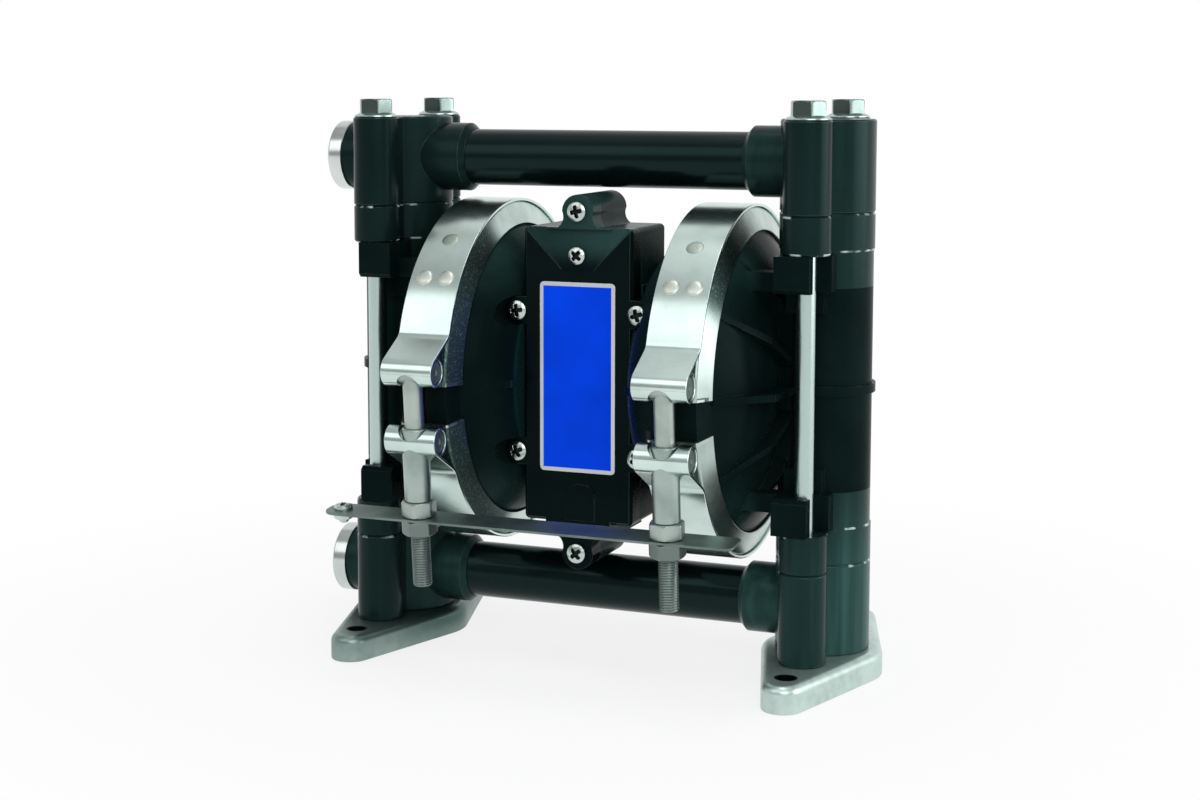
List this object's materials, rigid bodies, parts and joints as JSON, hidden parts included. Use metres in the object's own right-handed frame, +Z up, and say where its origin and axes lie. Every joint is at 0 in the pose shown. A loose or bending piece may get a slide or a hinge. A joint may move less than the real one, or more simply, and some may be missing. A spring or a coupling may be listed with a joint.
{
  "type": "air-operated double diaphragm pump",
  "caption": "Air-operated double diaphragm pump with ribbed polymer fluid covers, stainless band clamps, tie-bolted manifold columns and cast aluminium feet.",
  "frame": {"origin": "on the floor, in the middle of the four mounting holes of the feet", "axes": "+Z up, +X to the right towards the manifold end without ports, -Y towards the front with the air valve cover"},
  "size_m": [0.2423, 0.1578, 0.2315],
  "materials": {
    "cast_aluminium": "as-cast, lightly blasted",
    "black_polymer": "moulded black, semi-gloss",
    "dark_housing": "moulded black, satin",
    "stainless_ring": "turned stainless",
    "bolt_steel": "zinc plated",
    "screw_steel": "bright stainless",
    "strap_steel": "polished stainless",
    "clamp_bolt_steel": "stainless, drawn",
    "strip_steel": "plated strip",
    "label_blue": "printed film, bare",
    "rubber_black": "moulded rubber",
    "white_polymer": "machined polymer",
    "plate_polymer": "moulded",
    "shaft_steel": "ground steel",
    "muffler_polymer": "porous polymer"
  },
  "bodies": {
    "pump_frame": {"foot_left": "cast_aluminium", "foot_right": "cast_aluminium", "outlet_elbow": "black_polymer", "inlet_elbow": "black_polymer", "outlet_tee": "black_polymer", "inlet_tee": "black_polymer", "outlet_tube": "black_polymer", "inlet_tube": "black_polymer", "outlet_check_housing_left": "black_polymer", "outlet_check_housing_right": "black_polymer", "inlet_check_housing_left": "black_polymer", "inlet_check_housing_right": "black_polymer", "fluid_cover_left": "black_polymer", "fluid_cover_right": "black_polymer", "air_cover_left": "dark_housing", "air_cover_right": "dark_housing", "centre_housing": "dark_housing", "valve_cover": "dark_housing", "port_rings": "stainless_ring", "tie_bolts": "bolt_steel", "tie_nuts": "bolt_steel", "cover_screws": "screw_steel", "earth_screw": "screw_steel", "strip_screw": "screw_steel", "clamp_strap_left": "strap_steel", "clamp_strap_right": "strap_steel", "clamp_retainers_left": "strap_steel", "clamp_retainers_right": "strap_steel", "strap_rivets": "strap_steel", "t_bolt_left": "clamp_bolt_steel", "t_bolt_right": "clamp_bolt_steel", "clamp_trunnions": "clamp_bolt_steel", "clamp_nuts": "clamp_bolt_steel", "earthing_strip": "strip_steel", "label_plate": "label_blue", "valve_gasket": "rubber_black", "tube_seals": "rubber_black", "seat_seals": "rubber_black", "shaft_seals": "rubber_black", "valve_seats": "white_polymer", "valve_plate": "white_polymer", "actuator_bearings": "white_polymer", "pilot_bushes": "white_polymer", "shaft_bushes": "white_polymer", "muffler": "muffler_polymer"},
    "drive_shaft": {"diaphragm_shaft": "shaft_steel", "inner_plates": "plate_polymer", "outer_plates": "plate_polymer", "diaphragm_bolts": "shaft_steel", "diaphragm_left": "rubber_black", "diaphragm_right": "rubber_black"},
    "pilot": {"pilot_rod": "shaft_steel"},
    "air_valve": {"valve_carriage": "white_polymer", "actuator_pistons": "white_polymer", "valve_block": "white_polymer"},
    "outlet_ball_left_body": {"outlet_ball_left": "white_polymer"},
    "outlet_ball_right_body": {"outlet_ball_right": "white_polymer"},
    "inlet_ball_left_body": {"inlet_ball_left": "white_polymer"},
    "inlet_ball_right_body": {"inlet_ball_right": "white_polymer"}
  },
  "joints": [
    {"name": "shaft_slide", "type": "slide", "parent": "pump_frame", "child": "drive_shaft", "axis": [1, 0, 0], "range_m": [-0.005, 0.005], "deforming": ["diaphragm_left", "diaphragm_right"]},
    {"name": "pilot_slide", "type": "slide", "parent": "pump_frame", "child": "pilot", "axis": [1, 0, 0], "range_m": [-0.002, 0.002]},
    {"name": "valve_shift", "type": "slide", "parent": "pump_frame", "child": "air_valve", "axis": [0, 0, 1], "range_m": [-0.004, 0.004]},
    {"name": "outlet_ball_left_lift", "type": "slide", "parent": "pump_frame", "child": "outlet_ball_left_body", "axis": [0, 0, 1], "range_m": [0, 0.0035]},
    {"name": "outlet_ball_right_lift", "type": "slide", "parent": "pump_frame", "child": "outlet_ball_right_body", "axis": [0, 0, 1], "range_m": [0, 0.0035]},
    {"name": "inlet_ball_left_lift", "type": "slide", "parent": "pump_frame", "child": "inlet_ball_left_body", "axis": [0, 0, 1], "range_m": [0, 0.0035]},
    {"name": "inlet_ball_right_lift", "type": "slide", "parent": "pump_frame", "child": "inlet_ball_right_body", "axis": [0, 0, 1], "range_m": [0, 0.0035]}
  ],
  "couplings": [
    {"joint": "pilot_slide", "follows": "shaft_slide", "ratio": 0.4}
  ]
}
